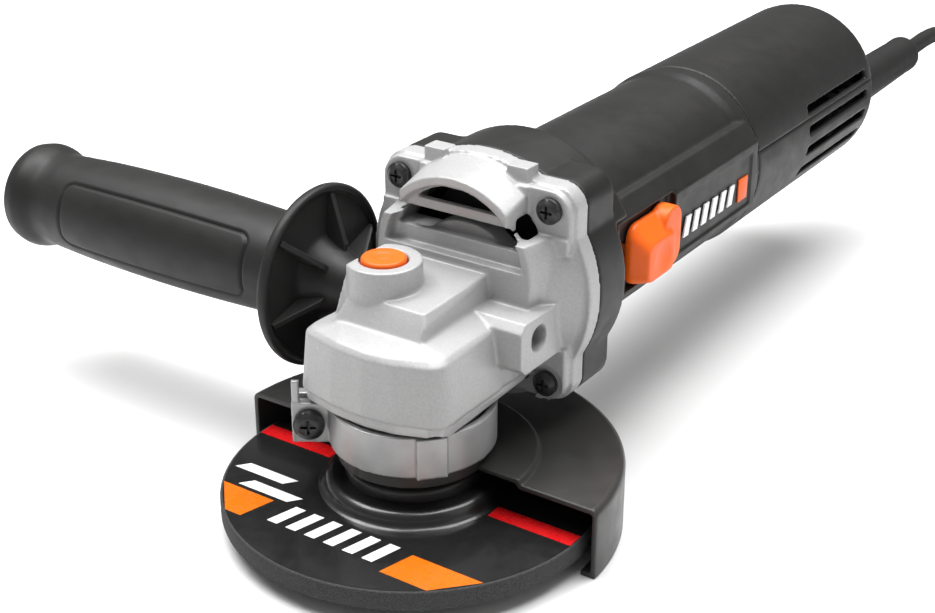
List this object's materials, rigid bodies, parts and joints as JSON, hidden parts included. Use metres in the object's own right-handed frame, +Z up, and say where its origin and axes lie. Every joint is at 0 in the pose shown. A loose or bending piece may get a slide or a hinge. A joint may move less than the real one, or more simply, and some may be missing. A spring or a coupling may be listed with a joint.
{
  "type": "angle grinder",
  "caption": "Small corded angle grinder with a depressed-centre grinding disc, turnable half guard, bevel gear head, spindle lock button, slide switch and screw-in side handle.",
  "frame": {"origin": "free end of the spindle, level with the guard's lip", "axes": "+Z up along the spindle towards the lock button, +Y along the motor towards the cord, +X out of the free side socket, on the switch's side"},
  "size_m": [0.29, 0.554, 0.1048],
  "materials": {
    "bare_steel": "machined",
    "black_steel": "blackened",
    "cast_aluminium": "fine cast, satin",
    "zinc_steel": "zinc plated",
    "guard_paint": "semi-gloss black",
    "abrasive": "bonded grain with a printed paper face",
    "bronze": "sintered",
    "felt": "pressed wool",
    "laminated_steel": "stacked sheet",
    "copper": "varnished",
    "inner_plastic": "moulded",
    "brass": "stamped",
    "carbon": "pressed graphite",
    "housing_plastic": "fine moulded grain",
    "orange_plastic": "satin",
    "grip_plastic": "fine moulded grain",
    "black_rubber": "matte",
    "plated_pins": "nickel plated"
  },
  "bodies": {
    "housing": {"gear_housing": "cast_aluminium", "bearing_cover": "cast_aluminium", "bearing_cover_screws": "black_steel", "spindle_bearing_outer_race": "bare_steel", "spindle_bearing_balls": "bare_steel", "spindle_bush": "bronze", "felt_seal": "felt", "housing_screws": "black_steel", "front_bearing_outer_race": "bare_steel", "front_bearing_balls": "bare_steel", "bearing_retainer": "bare_steel", "rear_bearing_outer_race": "bare_steel", "rear_bearing_balls": "bare_steel", "rear_bearing_damper": "black_rubber", "stator_core": "laminated_steel", "stator_coils": "copper", "air_baffle": "inner_plastic", "brush_holders": "brass", "carbon_brushes": "carbon", "brush_springs": "bare_steel", "motor_housing": "housing_plastic", "rear_cover_lower": "housing_plastic", "rear_cover_upper": "housing_plastic", "rear_cover_screws": "black_steel", "side_badge": "orange_plastic", "switch_module": "inner_plastic", "capacitor": "inner_plastic", "cord_clamp": "inner_plastic", "cord_clamp_screws": "black_steel", "strain_relief": "black_rubber", "cord_tube": "black_rubber", "cord_coil": "black_rubber", "cord_tail": "black_rubber", "plug_body": "black_rubber", "plug_pins": "plated_pins"},
    "spindle": {"spindle": "bare_steel", "crown_gear": "black_steel", "spindle_bearing_inner_race": "bare_steel", "inner_flange": "bare_steel", "grinding_disc": "abrasive", "lock_nut": "black_steel"},
    "armature": {"pinion": "black_steel", "armature_shaft": "bare_steel", "front_bearing_inner_race": "bare_steel", "fan": "inner_plastic", "armature_core": "laminated_steel", "armature_windings": "copper", "commutator": "copper", "rear_bearing_inner_race": "bare_steel"},
    "guard": {"guard": "guard_paint", "guard_clamp_band": "zinc_steel", "guard_clamp_screw": "black_steel", "guard_clamp_nut": "bare_steel"},
    "lock": {"lock_button": "orange_plastic", "lock_pin": "bare_steel", "lock_spring": "bare_steel"},
    "switch": {"switch_knob": "orange_plastic", "switch_rod": "inner_plastic"},
    "handle": {"side_handle": "grip_plastic", "handle_stud": "bare_steel"}
  },
  "joints": [
    {"name": "spindle_spin", "type": "hinge", "parent": "housing", "child": "spindle", "pos_m": [0, 0, 0], "axis": [0, 0, 1], "continuous": true},
    {"name": "armature_spin", "type": "hinge", "parent": "housing", "child": "armature", "pos_m": [0, 0, 0.066], "axis": [0, 1, 0], "continuous": true},
    {"name": "guard_turn", "type": "hinge", "parent": "housing", "child": "guard", "pos_m": [0, 0, 0], "axis": [0, 0, 1], "range_deg": [-75, 105]},
    {"name": "lock_press", "type": "slide", "parent": "housing", "child": "lock", "axis": [0, 0, -1], "range_m": [0, 0.005], "stiffness_N_per_m": 400, "springref_m": -0.004, "deforming": ["lock_spring"]},
    {"name": "switch_slide", "type": "slide", "parent": "housing", "child": "switch", "axis": [0, -1, 0], "range_m": [0, 0.006]},
    {"name": "handle_unscrew", "type": "slide", "parent": "housing", "child": "handle", "axis": [-1, 0, 0], "range_m": [0, 0.025]}
  ],
  "couplings": [
    {"joint": "armature_spin", "follows": "spindle_spin", "ratio": 3.4545}
  ]
}
